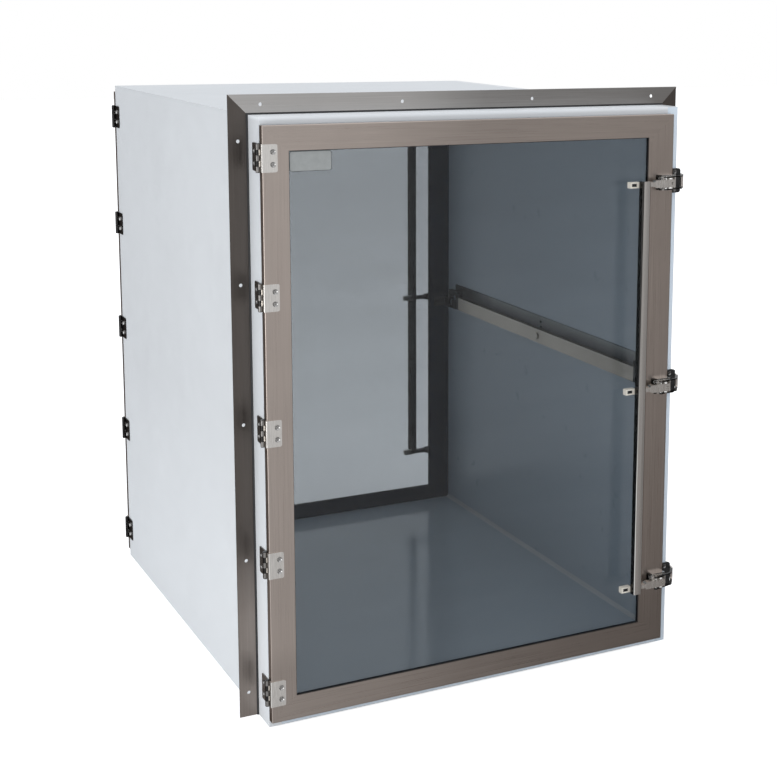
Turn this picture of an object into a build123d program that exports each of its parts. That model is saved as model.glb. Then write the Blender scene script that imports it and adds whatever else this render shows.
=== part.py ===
from build123d import *
import math
import os

# Cleanroom pass box: a polypropylene cabinet open at the front and the rear, each end closed by a hinged
# glass door. Millimetres. +X is to the right of the front door, the front door faces -Y, +Z is up. The
# origin is at mid-width and mid-depth, on the surface that the cabinet stands on.

# Cabinet
CABINET_WIDTH = 705.0
CABINET_DEPTH = 826.0
CABINET_HEIGHT = 914.0
WALL = 19.05
COVE_RADIUS = 6.0

# Wall flange: three mitred angles round the left, the top and the right of the cabinet
FLANGE_LEG = 29.0
FLANGE_SHEET = 2.0
FLANGE_SETBACK = 50.0
FLANGE_BEAD = 2.5
FLANGE_BEAD_CHAMFER = 1.75
WALL_HOLE_DIAMETER = 5.5
WALL_HOLE_SIDE_COUNT = 5
WALL_HOLE_SIDE_INSET = 37.8
WALL_HOLE_TOP_COUNT = 4
WALL_HOLE_TOP_INSET = 19.5
FLANGE_SCREW_SIDE_COUNT = 5
FLANGE_SCREW_SIDE_INSET = 77.0
FLANGE_SCREW_TOP_COUNT = 4
FLANGE_SCREW_TOP_INSET = 52.5

# Door
DOOR_MARGIN_RIGHT = 14.5
DOOR_MARGIN_TOP = 10.9
DOOR_MARGIN_BOTTOM = 10.5
STILE_HINGE = 39.0
STILE_LATCH = 47.0
RAIL_TOP = 36.5
RAIL_BOTTOM = 37.0
DOOR_SHEET = 1.5
DOOR_BEND_RADIUS = 1.4
GLAZING_TAPE = 1.0
GLAZING_LIP = 1.0
GLAZING_EDGE = 3.0
GLASS_THICKNESS = 6.0
GLASS_OVERLAP = 15.0
RETAINER_SHEET = 1.5
SEAL_WIDTH = 4.0
SEAL_THICKNESS = 2.0
SEAL_GAP = 0.3
PANEL_CLEARANCE = 0.3

# Hinges
HINGE_COUNT = 5
HINGE_END_INSET = 46.3
HINGE_HEIGHT = 40.0
HINGE_SHEET = 1.5
HINGE_LEAF_CABINET = 27.0
HINGE_LEAF_DOOR = 22.0
HINGE_BEND_RADIUS = 1.35
HINGE_CORNER_RADIUS = 3.0
HINGE_BARREL_RADIUS = 3.2
HINGE_BARREL_STAND = 3.6
HINGE_BARREL_FORWARD = 3.0
HINGE_KNUCKLES = 5
HINGE_PIN_RADIUS = 1.6
HINGE_PIN_HEAD_RADIUS = 2.6
HINGE_PIN_HEAD = 1.0
HINGE_KNUCKLE_GAP = 0.3
HINGE_LEAF_GAP = 0.6
HINGE_SCREW_PITCH = 18.0
HINGE_SCREW_INSET = 15.0

# Latches and handle
LATCH_COUNT = 3
LATCH_END_INSET = 109.3
LATCH_PIVOT_INSET = 15.0
LATCH_PIVOT_STAND = 17.5
LATCH_PIN_RADIUS = 2.0
LATCH_PIN_HEAD = 0.4
LATCH_PIN_HEAD_RADIUS = 3.0
LATCH_SCREW_INSET = 25.5
LATCH_SCREW_PITCH = 12.4
BASE_SHEET = 1.5
BASE_LENGTH = 32.0
BASE_HEIGHT = 24.6
BASE_WALL = 7.7
BASE_CORNER_RADIUS = 1.35
EAR_SHEET = 1.6
EAR_RADIUS = 5.0
LEVER_HEIGHT = 12.4
LEVER_DEPTH = 9.0
LEVER_SHEET = 1.5
LEVER_FRONT = 5.5
LEVER_HEEL = 5.5
LEVER_HEEL_RADIUS = 2.75
LEVER_LENGTH = 80.0
LEVER_BODY_LENGTH = 33.0
LEVER_BODY_CHAMFER = 2.0
LEVER_NECK_HEIGHT = 7.0
LEVER_TAIL_HEIGHT = 9.6
LEVER_TAIL_LAP = 2.0
LEVER_POCKET_INSET = 3.0
LEVER_POCKET_LENGTH = 9.0
LEVER_POCKET_HEIGHT = 5.0
LEVER_POCKET_DEPTH = 0.8
LEVER_HOLE_RADIUS = 2.0
HANDLE_WIDTH = 15.0
HANDLE_DEPTH = 12.0
HANDLE_CORNER_RADIUS = 1.5
HANDLE_INSET = 64.0
HANDLE_OVERHANG = 6.5
CLAW_PIN_RADIUS = 1.5
CLAW_PIN_ORBIT = 10.0
CLAW_PIN_ANGLE = 188.0
CLAW_SHEET = 1.8
CLAW_ARM_WIDTH = 4.0
CLAW_KNEE_REACH = 24.0
CLAW_KNEE_RISE = 6.0
CLAW_EYE_RADIUS = 3.2
CLAW_LIP = 3.1
CLAW_FACE = 4.3
CLAW_FRONT = 3.5
CLAW_BACK = 5.0
LAYER_GAP = 0.4
HOOK_CLEARANCE = 0.4

# Keepers
KEEPER_HEIGHT = 39.8
KEEPER_SHEET = 2.5
KEEPER_DOOR_GAP = 4.0
KEEPER_REACH = 7.0
KEEPER_CURL = 2.0
KEEPER_CURL_DEPTH = 2.5
KEEPER_FOOT = 30.0
KEEPER_CORNER_RADIUS = 4.0
KEEPER_SCREW_PITCH = 29.0
KEEPER_FOOT_SCREW_INSET = 10.0

# Screws and running fits
SCREW_RADIUS = 1.6
SCREW_HEAD_RADIUS = 3.6
SCREW_HEAD = 1.8
SCREW_HEAD_ROUND = 1.0
SCREW_GRIP_PANEL = 14.0
SCREW_GRIP_DOOR = 5.5
FLANGE_SCREW_RADIUS = 2.0
FLANGE_SCREW_HEAD_RADIUS = 4.0
SCREW_PLAY = 0.05
RUNNING_PLAY = 0.05

# Door interlock on the inside of the right wall
INTERLOCK_HEIGHT = 456.0
INTERLOCK_BAR_INSET = 71.0
INTERLOCK_BAR_HEIGHT = 26.0
INTERLOCK_BAR_DEPTH = 8.0
INTERLOCK_SHEET = 1.5
INTERLOCK_BACKING = 3.0
INTERLOCK_BACKING_HEIGHT = 49.0
INTERLOCK_BACKING_REACH = 30.0
INTERLOCK_BACKING_SCREW_PITCH = 10.0
INTERLOCK_BACKING_SCREW_RISE = 21.0
INTERLOCK_BACKING_SCREW_HEAD = 2.4
INTERLOCK_BAR_GAP = 0.5
INTERLOCK_PIVOT_RADIUS = 4.0
INTERLOCK_PIVOT_HEAD_RADIUS = 6.0
INTERLOCK_PIVOT_HEAD = 2.0
INTERLOCK_PIVOT_CHAMFER = 0.5
INTERLOCK_BUSHING_LENGTH = 40.0
INTERLOCK_TENON = 25.0
END_STEM = 13.0
END_RISE = 11.0
END_ARM_HEIGHT = 9.0
END_ARM_LENGTH = 46.0
TOOTH_WIDTH = 8.0
TOOTH_DROP = 10.0
TOOTH_LIFT = 1.5
NOTCH_PLAY = 2.2
NOTCH_DEPTH = 13.5
STRIKER_HEIGHT = 18.5
STRIKER_SHEET = 3.0
STRIKER_END_GAP = 6.0
STRIKER_FOOT = 26.0
STRIKER_FOOT_SHEET = 1.7

# How far a cut runs out past the face that it opens
PAST = 1.0

# Derived levels of the cabinet and the door
LEFT = -CABINET_WIDTH / 2
RIGHT = CABINET_WIDTH / 2
FRONT = -CABINET_DEPTH / 2
INNER_RIGHT = RIGHT - WALL
FLANGE_FACE = FRONT + FLANGE_SETBACK
DOOR_BACK = FRONT - SEAL_GAP - SEAL_THICKNESS
GLASS_BACK = DOOR_BACK - RETAINER_SHEET
GLASS_FRONT = GLASS_BACK - GLASS_THICKNESS
SHEET_BACK = GLASS_FRONT - GLAZING_TAPE
DOOR_FACE = SHEET_BACK - DOOR_SHEET
DOOR_RIGHT = RIGHT - DOOR_MARGIN_RIGHT
DOOR_TOP = CABINET_HEIGHT - DOOR_MARGIN_TOP
DOOR_BOTTOM = DOOR_MARGIN_BOTTOM
WINDOW_LEFT = LEFT + STILE_HINGE
WINDOW_RIGHT = DOOR_RIGHT - STILE_LATCH
WINDOW_TOP = DOOR_TOP - RAIL_TOP
WINDOW_BOTTOM = DOOR_BOTTOM + RAIL_BOTTOM
DOOR_MIDDLE = (DOOR_TOP + DOOR_BOTTOM) / 2
BARREL_X = LEFT - HINGE_BARREL_STAND
BARREL_Y = FRONT - HINGE_BARREL_FORWARD
PIVOT_X = DOOR_RIGHT - LATCH_PIVOT_INSET
PIVOT_Y = DOOR_FACE - LATCH_PIVOT_STAND
CLAW_PIN_X = PIVOT_X + CLAW_PIN_ORBIT * math.cos(math.radians(CLAW_PIN_ANGLE))
CLAW_PIN_Y = PIVOT_Y + CLAW_PIN_ORBIT * math.sin(math.radians(CLAW_PIN_ANGLE))
HANDLE_RIGHT = DOOR_RIGHT - HANDLE_INSET
HANDLE_LEFT = HANDLE_RIGHT - HANDLE_WIDTH
KEEPER_OUTER = RIGHT + KEEPER_REACH
CLAW_PLATE_X = KEEPER_OUTER + HOOK_CLEARANCE + CLAW_LIP
EAR_INNER = LEVER_HEIGHT / 2 + LAYER_GAP
EAR_OUTER = EAR_INNER + EAR_SHEET
CLAW_INNER = EAR_OUTER + LATCH_PIN_HEAD + LAYER_GAP
CLAW_OUTER = CLAW_INNER + CLAW_SHEET
BACKING_FACE = INNER_RIGHT - INTERLOCK_BACKING
BAR_BACK = BACKING_FACE - INTERLOCK_BAR_GAP
BAR_FACE = BAR_BACK - INTERLOCK_BAR_DEPTH
BAR_BOTTOM = INTERLOCK_HEIGHT - INTERLOCK_BAR_HEIGHT / 2
BAR_TOP = INTERLOCK_HEIGHT + INTERLOCK_BAR_HEIGHT / 2
BAR_END = FRONT + INTERLOCK_BAR_INSET
TOOTH_Y = BAR_END - END_ARM_LENGTH + TOOTH_WIDTH / 2


def spread(count, pitch, middle=0.0):
    """Places of count copies, pitch apart, about a middle."""
    return [middle + (i - (count - 1) / 2) * pitch for i in range(count)]


def between(count, low, high, inset):
    """Places of count copies, evenly spaced, the outer two an inset inside two ends."""
    return spread(count, (high - low - 2 * inset) / (count - 1), (low + high) / 2)


HINGE_LEVELS = between(HINGE_COUNT, DOOR_BOTTOM, DOOR_TOP, HINGE_END_INSET)
LATCH_LEVELS = between(LATCH_COUNT, DOOR_BOTTOM, DOOR_TOP, LATCH_END_INSET)


def block(x0, x1, y0, y1, z0, z1):
    """A rectangular block between two opposite corners."""
    return Pos(x0, y0, z0) * Box(x1 - x0, y1 - y0, z1 - z0, align=(Align.MIN, Align.MIN, Align.MIN))


def rod_x(x0, x1, y, z, radius):
    return extrude(Plane((x0, y, z), z_dir=(1, 0, 0)) * Circle(radius), amount=x1 - x0)


def rod_y(y0, y1, x, z, radius):
    return extrude(Plane((x, y0, z), z_dir=(0, 1, 0)) * Circle(radius), amount=y1 - y0)


def rod_z(z0, z1, x, y, radius):
    return extrude(Plane((x, y, z0), z_dir=(0, 0, 1)) * Circle(radius), amount=z1 - z0)


def prism_xz(points, y0, y1):
    """A prism along Y with an outline of (x, z) points."""
    plane = Plane((0, y1, 0), x_dir=(1, 0, 0), z_dir=(0, -1, 0))
    return extrude(plane * Polygon(*points, align=None), amount=y1 - y0, dir=(0, -1, 0))


def screw(seat, outward, radius, head_radius, grip):
    """A pan-head screw whose head sits on seat and whose shank runs the other way."""
    head = Cylinder(head_radius, SCREW_HEAD, align=(Align.CENTER, Align.CENTER, Align.MIN))
    head = fillet(head.edges().sort_by(Axis.Z)[-1], SCREW_HEAD_ROUND)
    shank = Cylinder(radius, grip, align=(Align.CENTER, Align.CENTER, Align.MAX))
    return Plane(seat, z_dir=outward).location * (head + shank)


def small_screw(seat, outward, grip):
    return screw(seat, outward, SCREW_RADIUS, SCREW_HEAD_RADIUS, grip)


def rear(pieces):
    """The same pieces at the rear end of the cabinet."""
    return [mirror(piece, about=Plane.XZ) for piece in pieces]


def both_ends(pieces):
    return pieces + rear(pieces)


# Cabinet -------------------------------------------------------------------------------------------------


def hinge_cabinet_screw_seats():
    x = LEFT - HINGE_SHEET
    y = FRONT + HINGE_SCREW_INSET
    return [(x, y, level + dz) for level in HINGE_LEVELS for dz in spread(2, HINGE_SCREW_PITCH)]


def keeper_front_screw_seats():
    x = (DOOR_RIGHT + KEEPER_DOOR_GAP + RIGHT) / 2
    y = FRONT - KEEPER_SHEET
    return [(x, y, level + dz) for level in LATCH_LEVELS for dz in spread(2, KEEPER_SCREW_PITCH)]


def keeper_side_screw_seats():
    x = RIGHT + KEEPER_SHEET
    y = FRONT + KEEPER_FOOT - KEEPER_FOOT_SCREW_INSET
    return [(x, y, level + dz) for level in LATCH_LEVELS for dz in spread(2, KEEPER_SCREW_PITCH)]


def flange_side_levels():
    return between(FLANGE_SCREW_SIDE_COUNT, 0, CABINET_HEIGHT, FLANGE_SCREW_SIDE_INSET)


def flange_top_places():
    return between(FLANGE_SCREW_TOP_COUNT, LEFT, RIGHT, FLANGE_SCREW_TOP_INSET)


def flange_screw_y():
    return FLANGE_FACE + (FLANGE_LEG + FLANGE_SHEET) / 2


def interlock_screw_seats():
    top = INTERLOCK_HEIGHT + INTERLOCK_BACKING_SCREW_RISE
    return [(BACKING_FACE, 0, z) for z in spread(2, INTERLOCK_BACKING_SCREW_PITCH, top)]


def panel_left():
    panel = block(LEFT, LEFT + WALL, FRONT, -FRONT, 0, CABINET_HEIGHT)
    depth = SCREW_GRIP_PANEL + SCREW_PLAY
    small = SCREW_RADIUS + SCREW_PLAY
    large = FLANGE_SCREW_RADIUS + SCREW_PLAY
    hinge_depth = LEFT - HINGE_SHEET + depth
    holes = [rod_x(LEFT - PAST, hinge_depth, y, z, small) for _, y, z in hinge_cabinet_screw_seats()]
    holes = both_ends(holes)
    for z in flange_side_levels():
        holes.append(rod_x(LEFT - PAST, LEFT - FLANGE_SHEET + depth, flange_screw_y(), z, large))
    return panel - holes


def panel_right():
    panel = block(INNER_RIGHT, RIGHT, FRONT, -FRONT, 0, CABINET_HEIGHT)
    depth = SCREW_GRIP_PANEL + SCREW_PLAY
    small = SCREW_RADIUS + SCREW_PLAY
    large = FLANGE_SCREW_RADIUS + SCREW_PLAY
    front_depth = FRONT - KEEPER_SHEET + depth
    side_depth = RIGHT + KEEPER_SHEET - depth
    holes = [rod_y(FRONT - PAST, front_depth, x, z, small) for x, _, z in keeper_front_screw_seats()]
    holes += [rod_x(side_depth, RIGHT + PAST, y, z, small) for _, y, z in keeper_side_screw_seats()]
    holes = both_ends(holes)
    for z in flange_side_levels():
        holes.append(rod_x(RIGHT + FLANGE_SHEET - depth, RIGHT + PAST, flange_screw_y(), z, large))
    for _, y, z in interlock_screw_seats():
        holes.append(rod_x(INNER_RIGHT - PAST, BACKING_FACE + depth, y, z, small))
    bolt = INTERLOCK_PIVOT_RADIUS + SCREW_PLAY
    holes.append(rod_x(INNER_RIGHT - PAST, BACKING_FACE + depth, 0, INTERLOCK_HEIGHT, bolt))
    return panel - holes


def panel_top():
    panel = block(LEFT + WALL, INNER_RIGHT, FRONT, -FRONT, CABINET_HEIGHT - WALL, CABINET_HEIGHT)
    depth = SCREW_GRIP_PANEL + SCREW_PLAY
    low = CABINET_HEIGHT + FLANGE_SHEET - depth
    radius = FLANGE_SCREW_RADIUS + SCREW_PLAY
    for x in flange_top_places():
        panel -= rod_z(low, CABINET_HEIGHT + PAST, x, flange_screw_y(), radius)
    return panel


def panel_bottom():
    return block(LEFT + WALL, INNER_RIGHT, FRONT, -FRONT, 0, WALL)


def corner_coves():
    """Concave weld beads along the four long inside corners."""
    coves = []
    for x, x_in in ((LEFT + WALL, 1), (INNER_RIGHT, -1)):
        for z, z_in in ((WALL, 1), (CABINET_HEIGHT - WALL, -1)):
            x_far = x + x_in * COVE_RADIUS
            z_far = z + z_in * COVE_RADIUS
            bead = block(min(x, x_far), max(x, x_far), FRONT, -FRONT, min(z, z_far), max(z, z_far))
            coves.append(bead - rod_y(FRONT - PAST, PAST - FRONT, x_far, z_far, COVE_RADIUS))
    return coves


# Wall flange ---------------------------------------------------------------------------------------------


def flange_left():
    """An angle with its top end mitred: one leg stands out from the side, the other lies on it."""
    outer = LEFT - FLANGE_LEG
    face = [(LEFT, 0), (outer, 0), (outer, CABINET_HEIGHT + FLANGE_LEG), (LEFT, CABINET_HEIGHT)]
    back = FLANGE_FACE + FLANGE_SHEET
    angle = prism_xz(face, FLANGE_FACE, back)
    angle += block(LEFT - FLANGE_SHEET, LEFT, back, FLANGE_FACE + FLANGE_LEG, 0, CABINET_HEIGHT)
    hole_x = LEFT - FLANGE_LEG / 2
    for z in between(WALL_HOLE_SIDE_COUNT, 0, CABINET_HEIGHT, WALL_HOLE_SIDE_INSET):
        angle -= rod_y(FLANGE_FACE - PAST, back + PAST, hole_x, z, WALL_HOLE_DIAMETER / 2)
    radius = FLANGE_SCREW_RADIUS + SCREW_PLAY
    for z in flange_side_levels():
        angle -= rod_x(LEFT - FLANGE_SHEET - PAST, LEFT + PAST, flange_screw_y(), z, radius)
    return angle


def flange_top():
    left = LEFT - FLANGE_LEG
    top = CABINET_HEIGHT + FLANGE_LEG
    face = [(LEFT, CABINET_HEIGHT), (left, top), (-left, top), (RIGHT, CABINET_HEIGHT)]
    back = FLANGE_FACE + FLANGE_SHEET
    angle = prism_xz(face, FLANGE_FACE, back)
    leg_top = CABINET_HEIGHT + FLANGE_SHEET
    angle += block(LEFT, RIGHT, back, FLANGE_FACE + FLANGE_LEG, CABINET_HEIGHT, leg_top)
    hole_level = CABINET_HEIGHT + FLANGE_LEG / 2
    for x in between(WALL_HOLE_TOP_COUNT, LEFT, RIGHT, WALL_HOLE_TOP_INSET):
        angle -= rod_y(FLANGE_FACE - PAST, back + PAST, x, hole_level, WALL_HOLE_DIAMETER / 2)
    radius = FLANGE_SCREW_RADIUS + SCREW_PLAY
    for x in flange_top_places():
        angle -= rod_z(CABINET_HEIGHT - PAST, leg_top + PAST, x, flange_screw_y(), radius)
    return angle


def flange_seal():
    """A bead in the corner between the flange and the cabinet, chamfered to a fillet."""
    front = FLANGE_FACE - FLANGE_BEAD
    side = RIGHT + FLANGE_BEAD
    top = CABINET_HEIGHT + FLANGE_BEAD
    bead = block(-side, side, front, FLANGE_FACE, 0, top)
    front_edges = bead.edges().group_by(Axis.Y)[0]
    outer = front_edges.filter_by(Axis.Z) + front_edges.group_by(Axis.Z)[-1]
    bead = chamfer(outer, FLANGE_BEAD_CHAMFER)
    return bead - block(LEFT, RIGHT, front - PAST, FLANGE_FACE + PAST, -1, CABINET_HEIGHT)


def large_screw(seat, outward):
    return screw(seat, outward, FLANGE_SCREW_RADIUS, FLANGE_SCREW_HEAD_RADIUS, SCREW_GRIP_PANEL)


def flange_screws():
    y = flange_screw_y()
    screws = []
    for z in flange_side_levels():
        screws.append(large_screw((LEFT - FLANGE_SHEET, y, z), (-1, 0, 0)))
        screws.append(large_screw((RIGHT + FLANGE_SHEET, y, z), (1, 0, 0)))
    for x in flange_top_places():
        screws.append(large_screw((x, y, CABINET_HEIGHT + FLANGE_SHEET), (0, 0, 1)))
    return screws


# Hinges --------------------------------------------------------------------------------------------------


def knuckle(level, index):
    """Lowest and highest point of one knuckle of the hinge at a level."""
    length = HINGE_HEIGHT / HINGE_KNUCKLES
    low = level - HINGE_HEIGHT / 2 + index * length
    return low + HINGE_KNUCKLE_GAP / 2, low + length - HINGE_KNUCKLE_GAP / 2


def hinge_cabinet_leaf(level):
    low = level - HINGE_HEIGHT / 2
    high = level + HINGE_HEIGHT / 2
    start = BARREL_Y + HINGE_BARREL_RADIUS + HINGE_LEAF_GAP
    leaf = block(LEFT - HINGE_SHEET, LEFT, start, FRONT + HINGE_LEAF_CABINET, low, high)
    leaf = fillet(leaf.edges().filter_by(Axis.X).group_by(Axis.Y)[-1], HINGE_CORNER_RADIUS)
    for index in range(0, HINGE_KNUCKLES, 2):
        z0, z1 = knuckle(level, index)
        leaf += block(LEFT - HINGE_SHEET, LEFT - HINGE_KNUCKLE_GAP, BARREL_Y, start, z0, z1)
        leaf += rod_z(z0, z1, BARREL_X, BARREL_Y, HINGE_BARREL_RADIUS)
    leaf -= rod_z(low - PAST, high + PAST, BARREL_X, BARREL_Y, HINGE_PIN_RADIUS)
    for dz in spread(2, HINGE_SCREW_PITCH):
        y = FRONT + HINGE_SCREW_INSET
        leaf -= rod_x(LEFT - HINGE_SHEET - PAST, LEFT + PAST, y, level + dz, SCREW_RADIUS + SCREW_PLAY)
    return leaf


def hinge_door_leaf(level):
    """The leaf that wraps round the edge of the door onto its face."""
    low = level - HINGE_HEIGHT / 2
    high = level + HINGE_HEIGHT / 2
    outer = LEFT - HINGE_SHEET
    end = BARREL_Y - HINGE_BARREL_RADIUS - HINGE_LEAF_GAP
    end_face = DOOR_FACE - HINGE_SHEET
    face = block(outer, LEFT + HINGE_LEAF_DOOR, end_face, DOOR_FACE, low, high)
    face = fillet(face.edges().filter_by(Axis.Y).group_by(Axis.X)[-1], HINGE_CORNER_RADIUS)
    leaf = face + block(outer, LEFT, end_face, end, low, high)
    bend = leaf.edges().filter_by(Axis.Z).group_by(Axis.Y)[0].sort_by(Axis.X)[0]
    leaf = fillet(bend, HINGE_BEND_RADIUS)
    for index in range(1, HINGE_KNUCKLES, 2):
        z0, z1 = knuckle(level, index)
        leaf += block(outer, LEFT, end, BARREL_Y, z0, z1)
        leaf += rod_z(z0, z1, BARREL_X, BARREL_Y, HINGE_BARREL_RADIUS)
    leaf -= rod_z(low - PAST, high + PAST, BARREL_X, BARREL_Y, HINGE_PIN_RADIUS + RUNNING_PLAY)
    for dz in spread(2, HINGE_SCREW_PITCH):
        x = LEFT + HINGE_SCREW_INSET
        leaf -= rod_y(end_face - PAST, DOOR_FACE + PAST, x, level + dz, SCREW_RADIUS + SCREW_PLAY)
    return leaf


def hinge_pin(level):
    low = level - HINGE_HEIGHT / 2 + HINGE_KNUCKLE_GAP / 2
    high = level + HINGE_HEIGHT / 2 - HINGE_KNUCKLE_GAP / 2
    pin = rod_z(low, high, BARREL_X, BARREL_Y, HINGE_PIN_RADIUS)
    pin += rod_z(high, high + HINGE_PIN_HEAD, BARREL_X, BARREL_Y, HINGE_PIN_HEAD_RADIUS)
    return pin + rod_z(low - HINGE_PIN_HEAD, low, BARREL_X, BARREL_Y, HINGE_PIN_HEAD_RADIUS)


# Door ----------------------------------------------------------------------------------------------------


def door_window(y0, y1, inset=0.0):
    """The opening of the door frame, made smaller all round by an inset."""
    x0 = WINDOW_LEFT + inset
    x1 = WINDOW_RIGHT - inset
    return block(x0, x1, y0, y1, WINDOW_BOTTOM + inset, WINDOW_TOP - inset)


def door_area(y0, y1, inset=0.0):
    """The outline of the door, made smaller all round by an inset."""
    return block(LEFT + inset, DOOR_RIGHT - inset, y0, y1, DOOR_BOTTOM + inset, DOOR_TOP - inset)


def door_screw_seats():
    x = LEFT + HINGE_SCREW_INSET
    y = DOOR_FACE - HINGE_SHEET
    seats = [(x, y, level + dz) for level in HINGE_LEVELS for dz in spread(2, HINGE_SCREW_PITCH)]
    x = DOOR_RIGHT - LATCH_SCREW_INSET
    y = DOOR_FACE - BASE_SHEET
    return seats + [(x, y, level + dz) for level in LATCH_LEVELS for dz in spread(2, LATCH_SCREW_PITCH)]


def door_frame():
    """Folded sheet: a face with the window in it and a rim that turns back round the outside."""
    pan = door_area(DOOR_FACE, DOOR_BACK)
    pan = fillet(pan.edges().group_by(Axis.Y)[0] + pan.edges().filter_by(Axis.Y), DOOR_BEND_RADIUS)
    pan -= door_area(SHEET_BACK, DOOR_BACK + PAST, DOOR_SHEET)
    pan -= door_window(DOOR_FACE - PAST, SHEET_BACK + PAST)
    radius = SCREW_RADIUS + SCREW_PLAY
    return pan - [rod_y(DOOR_FACE - PAST, SHEET_BACK + PAST, x, z, radius) for x, _, z in door_screw_seats()]


def glass():
    return door_window(GLASS_FRONT, GLASS_BACK, -GLASS_OVERLAP)


def glazing_gasket():
    """Tape under the glass that turns round its edge, with a thin lip left in sight."""
    gasket = door_window(SHEET_BACK, GLASS_BACK, -GLASS_OVERLAP - GLAZING_EDGE)
    return gasket - glass() - door_window(SHEET_BACK - PAST, GLASS_BACK + PAST, GLAZING_LIP)


def glass_retainer():
    """The flat frame that holds the glass from behind."""
    ring = door_area(GLASS_BACK, DOOR_BACK, DOOR_SHEET + PANEL_CLEARANCE)
    return ring - door_window(GLASS_BACK - PAST, DOOR_BACK + PAST)


def door_seal():
    seal = door_area(DOOR_BACK, DOOR_BACK + SEAL_THICKNESS, PANEL_CLEARANCE)
    return seal - door_area(DOOR_BACK - PAST, FRONT, PANEL_CLEARANCE + SEAL_WIDTH)


# Latches and handle --------------------------------------------------------------------------------------


def both_sides(level, z0, z1, make):
    """The same piece above and below the middle of a latch, between two heights from it."""
    return make(level + z0, level + z1) + make(level - z1, level - z0)


def latch_base(level):
    """A pressed tray on the stile with two ears that carry the lever's pin."""
    left = DOOR_RIGHT - BASE_LENGTH
    low = level - BASE_HEIGHT / 2
    high = level + BASE_HEIGHT / 2
    floor = DOOR_FACE - BASE_SHEET
    lip = floor - BASE_WALL
    base = block(left, DOOR_RIGHT, lip, DOOR_FACE, low, high)
    base = fillet(base.edges().filter_by(Axis.Y), BASE_CORNER_RADIUS)
    inner_right = DOOR_RIGHT - BASE_SHEET
    base -= block(left - PAST, inner_right, lip - PAST, floor, low + BASE_SHEET, high - BASE_SHEET)
    x0 = PIVOT_X - EAR_RADIUS
    x1 = PIVOT_X + EAR_RADIUS
    base += both_sides(level, EAR_INNER, EAR_OUTER, lambda a, b: block(x0, x1, PIVOT_Y, floor, a, b))
    base += both_sides(level, EAR_INNER, EAR_OUTER, lambda a, b: rod_z(a, b, PIVOT_X, PIVOT_Y, EAR_RADIUS))
    base -= rod_z(low, high, PIVOT_X, PIVOT_Y, LATCH_PIN_RADIUS)
    x = DOOR_RIGHT - LATCH_SCREW_INSET
    for dz in spread(2, LATCH_SCREW_PITCH):
        base -= rod_y(floor - PAST, DOOR_FACE + PAST, x, level + dz, SCREW_RADIUS + SCREW_PLAY)
    return base


def latch_pin(level):
    reach = EAR_OUTER + LATCH_PIN_HEAD
    pin = rod_z(level - EAR_OUTER, level + EAR_OUTER, PIVOT_X, PIVOT_Y, LATCH_PIN_RADIUS)
    return pin + both_sides(
        level, EAR_OUTER, reach, lambda a, b: rod_z(a, b, PIVOT_X, PIVOT_Y, LATCH_PIN_HEAD_RADIUS)
    )


def lever_channel(level, x0, x1, height):
    """Sheet folded to a U that opens towards the door, closed at its left end."""
    face = PIVOT_Y - LEVER_FRONT
    back = face + LEVER_DEPTH
    low = level - height / 2
    high = level + height / 2
    inner_low = low + LEVER_SHEET
    inner_high = high - LEVER_SHEET
    run = block(x0, x1, face, back, low, high)
    return run - block(x0 + LEVER_SHEET, x1 + PAST, face + LEVER_SHEET, back + PAST, inner_low, inner_high)


def latch_lever(level):
    """A channel that turns on the pin at its heel, narrowed to a neck that ends in a tail beyond the bar."""
    heel = PIVOT_X + LEVER_HEEL
    tail = PIVOT_X - LEVER_LENGTH
    shoulder = HANDLE_LEFT + LEVER_TAIL_LAP
    body_left = PIVOT_X - LEVER_BODY_LENGTH
    face = PIVOT_Y - LEVER_FRONT
    low = level - LEVER_HEIGHT / 2
    high = level + LEVER_HEIGHT / 2
    lever = lever_channel(level, body_left, heel, LEVER_HEIGHT)
    lever = chamfer(lever.edges().filter_by(Axis.Y).group_by(Axis.X)[0], LEVER_BODY_CHAMFER)
    heel_edges = lever.edges().filter_by(Axis.Z).group_by(Axis.X)[-1].group_by(Axis.Y)[-1]
    lever = fillet(heel_edges, LEVER_HEEL_RADIUS)
    lever += lever_channel(level, shoulder, body_left, LEVER_NECK_HEIGHT)
    lever += lever_channel(level, tail, shoulder, LEVER_TAIL_HEIGHT)
    pocket_left = tail + LEVER_POCKET_INSET
    pocket_right = pocket_left + LEVER_POCKET_LENGTH
    pocket_back = face + LEVER_POCKET_DEPTH
    half = LEVER_POCKET_HEIGHT / 2
    lever -= block(pocket_left, pocket_right, face - PAST, pocket_back, level - half, level + half)
    lever -= rod_y(face - PAST, face + LEVER_SHEET + PAST, PIVOT_X, level, LEVER_HOLE_RADIUS)
    lever -= rod_z(low - PAST, high + PAST, PIVOT_X, PIVOT_Y, LATCH_PIN_RADIUS + RUNNING_PLAY)
    return lever - rod_z(low - PAST, high + PAST, CLAW_PIN_X, CLAW_PIN_Y, CLAW_PIN_RADIUS)


def claw_pin(level):
    half = CLAW_OUTER + LAYER_GAP
    return rod_z(level - half, level + half, CLAW_PIN_X, CLAW_PIN_Y, CLAW_PIN_RADIUS)


def claw_arm(z0, z1):
    """A bent arm from the claw's pin over the edge of the door to the hook."""
    knee = (PIVOT_X + CLAW_KNEE_REACH, PIVOT_Y + CLAW_KNEE_RISE)
    wrist = (CLAW_PLATE_X, FRONT - CLAW_FRONT + CLAW_SHEET / 2)
    path = Polyline((CLAW_PIN_X, CLAW_PIN_Y), knee, wrist)
    arm = extrude(Plane.XY.offset(z0) * trace(path, CLAW_ARM_WIDTH), amount=z1 - z0)
    return arm + rod_z(z0, z1, CLAW_PIN_X, CLAW_PIN_Y, CLAW_EYE_RADIUS)


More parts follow.
